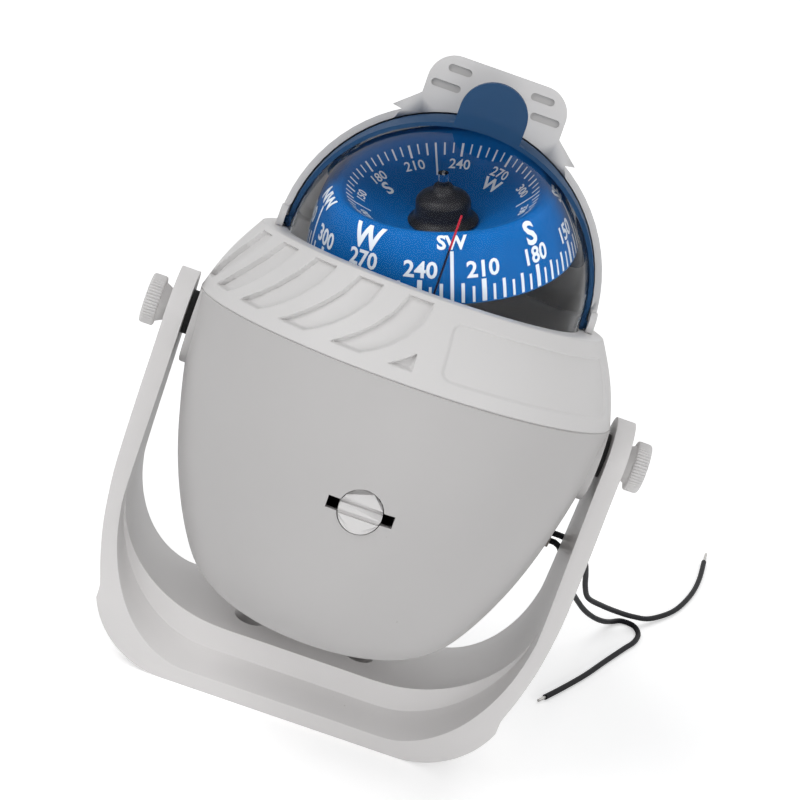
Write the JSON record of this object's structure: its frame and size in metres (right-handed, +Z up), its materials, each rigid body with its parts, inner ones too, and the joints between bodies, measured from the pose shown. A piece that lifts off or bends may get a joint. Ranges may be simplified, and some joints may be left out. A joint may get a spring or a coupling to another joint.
{
  "type": "marine compass",
  "caption": "Bracket-mounted fluid compass: tilting white housing, clear dome with gimballed blue card, fixed hood, swinging tinted shade, side thumbscrews and lamp leads.",
  "frame": {"origin": "centre of the bracket's mounting face", "axes": "+Z up out of the mounting face, front of the compass towards -Y, +X to the viewer's right along the tilt axis. At rest the housing is pitched back by 13.3 degrees and the card is heeled, as pictured."},
  "size_m": [0.1755, 0.2167, 0.158],
  "materials": {
    "white_abs": "satin white moulding",
    "white_trim": "satin white moulding",
    "knob_plastic": "satin white, straight knurl",
    "stud_steel": "stainless screw",
    "insert_brass": "turned",
    "washer_rubber": "matte black",
    "clear_dome": "clear polished",
    "tinted_shade": "tinted translucent blue",
    "bowl_dark": "dark grey",
    "gasket_rubber": "matte black",
    "post_brass": "turned",
    "cradle_steel": "polished",
    "card_blue": "printed blue with white graduations",
    "hub_black": "satin black",
    "clear_post": "clear",
    "jewel_red": "polished",
    "float_white": "foamed",
    "magnet_steel": "plated",
    "lubber_red": "red top, dark foot",
    "holder_beige": "grey beige",
    "lamp_clear": "clear",
    "lead_black": "black insulation",
    "tinned_wire": "tinned strands"
  },
  "bodies": {
    "bracket_base": {"bracket": "white_abs", "lead_a": "lead_black", "lead_b": "lead_black", "lead_a_tip": "tinned_wire", "lead_b_tip": "tinned_wire"},
    "housing": {"lower_housing": "white_abs", "trim_ring": "white_trim", "sun_hood": "white_trim", "capsule_dome": "clear_dome", "capsule_gasket": "gasket_rubber", "capsule_bowl": "bowl_dark", "lubber_line": "lubber_red", "filler_screw": "stud_steel", "expansion_diaphragm": "gasket_rubber", "diaphragm_ring": "cradle_steel", "pivot_post": "post_brass", "lamp_holder": "holder_beige", "lamp": "lamp_clear", "friction_washers": "washer_rubber", "pivot_inserts": "insert_brass"},
    "left_thumbscrew": {"left_knob": "knob_plastic", "left_stud": "stud_steel"},
    "right_thumbscrew": {"right_knob": "knob_plastic", "right_stud": "stud_steel"},
    "shade": {"sun_shade": "tinted_shade"},
    "gimbal": {"gimbal_cross": "post_brass"},
    "cradle": {"card_cradle": "cradle_steel", "pivot_needle": "cradle_steel"},
    "card": {"compass_card": "card_blue", "card_hub": "hub_black", "card_post": "clear_post", "jewel_cup": "jewel_red", "card_float": "float_white", "card_magnets": "magnet_steel"},
    "compensator": {"compensator_plug": "knob_plastic", "compensator_magnet": "magnet_steel"}
  },
  "joints": [
    {"name": "housing_tilt", "type": "hinge", "parent": "bracket_base", "child": "housing", "pos_m": [0, 0, 0.08349], "axis": [1, 0, 0], "range_deg": [-40, 40]},
    {"name": "left_thumbscrew_turn", "type": "hinge", "parent": "bracket_base", "child": "left_thumbscrew", "pos_m": [-0.0575, 0, 0.08349], "axis": [-1, 0, 0], "continuous": true},
    {"name": "right_thumbscrew_turn", "type": "hinge", "parent": "bracket_base", "child": "right_thumbscrew", "pos_m": [0.0575, 0, 0.08349], "axis": [1, 0, 0], "continuous": true},
    {"name": "shade_swing", "type": "hinge", "parent": "housing", "child": "shade", "pos_m": [0, 0.00633, 0.11025], "axis": [1, 0, 0], "range_deg": [-10, 65]},
    {"name": "card_roll", "type": "hinge", "parent": "housing", "child": "gimbal", "pos_m": [0, 0.00729, 0.11434], "axis": [0, 0.9732, -0.23], "range_deg": [-10.8, 49.2]},
    {"name": "card_pitch", "type": "hinge", "parent": "gimbal", "child": "cradle", "pos_m": [0, 0.00729, 0.11434], "axis": [0.9444, 0.0757, 0.32], "range_deg": [-47.9, 12.1]},
    {"name": "card_heading", "type": "hinge", "parent": "cradle", "child": "card", "pos_m": [0, 0.00729, 0.11434], "axis": [-0.3129, -0.0924, 0.9453], "continuous": true},
    {"name": "compensator_turn", "type": "hinge", "parent": "housing", "child": "compensator", "pos_m": [0, -0.05067, 0.07213], "axis": [0, -0.9732, 0.23], "continuous": true}
  ]
}
